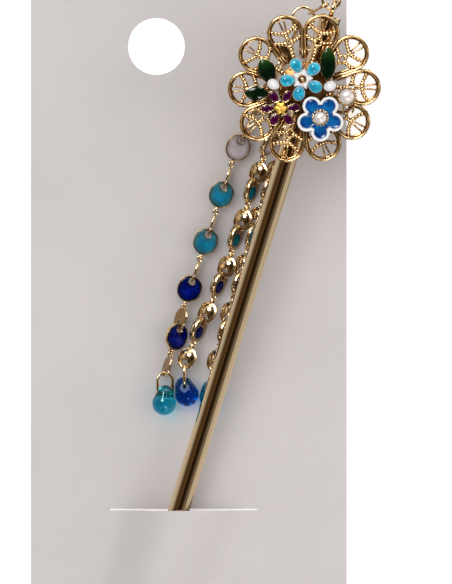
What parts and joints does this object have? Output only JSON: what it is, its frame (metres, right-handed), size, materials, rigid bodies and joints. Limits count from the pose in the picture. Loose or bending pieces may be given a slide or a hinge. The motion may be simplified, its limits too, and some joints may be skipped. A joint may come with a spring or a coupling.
{
  "type": "kanzashi hairpin on a display card",
  "caption": "Gold hair stick with a pierced filigree flower, enamel blossoms, pearls and hanging chains of enamelled discs with glass drops, threaded through a plain display card.",
  "frame": {"origin": "middle of the display card's flat back face", "axes": "+X to the right and +Y to the top of the card as it is read, +Z out of its front towards the viewer"},
  "size_m": [0.0582, 0.135, 0.0179],
  "materials": {
    "card": "matt paper card, left plain",
    "gold": "polished gold plate, darker in the recesses",
    "white_enamel": "gloss",
    "turquoise_enamel": "gloss",
    "purple_enamel": "gloss, translucent",
    "blue_enamel": "gloss, translucent",
    "leaf_enamel": "gloss",
    "pearl": "pearl lustre",
    "teal_enamel": "gloss",
    "navy_enamel": "gloss",
    "aqua_glass": "clear glass with a rainbow coat",
    "blue_glass": "clear glass",
    "teal_glass": "clear glass"
  },
  "bodies": {
    "root": {"display_card": "card", "hair_stick": "gold", "filigree_flower": "gold", "turquoise_flower": "white_enamel", "turquoise_petals": "turquoise_enamel", "turquoise_bead": "gold", "purple_flower": "gold", "purple_petals": "purple_enamel", "blue_flower": "white_enamel", "blue_bowl": "blue_enamel", "blue_pearl_cup": "gold", "blue_pearl": "pearl", "side_pearl_cup": "gold", "side_pearl": "pearl", "leaf_upper_left": "leaf_enamel", "leaf_left": "leaf_enamel", "leaf_upper_right": "leaf_enamel", "bud_left": "white_enamel", "bud_right": "white_enamel", "top_ring": "gold", "top_link": "gold", "strand_ring": "gold", "left_chain": "gold", "middle_chain": "gold", "right_chain": "gold", "left_enamel_1": "white_enamel", "left_enamel_2": "teal_enamel", "left_enamel_3": "teal_enamel", "left_enamel_4": "navy_enamel", "left_enamel_5": "navy_enamel", "middle_enamel_1": "white_enamel", "middle_enamel_2": "teal_enamel", "middle_enamel_3": "teal_enamel", "middle_enamel_4": "navy_enamel", "middle_enamel_5": "navy_enamel", "right_enamel_1": "white_enamel", "right_enamel_2": "teal_enamel", "right_enamel_3": "teal_enamel", "right_enamel_4": "navy_enamel", "right_enamel_5": "navy_enamel", "left_drop_ring": "gold", "middle_drop_ring": "gold", "right_drop_ring": "gold", "left_drop": "aqua_glass", "middle_drop": "blue_glass", "right_drop": "teal_glass"}
  },
  "joints": []
}
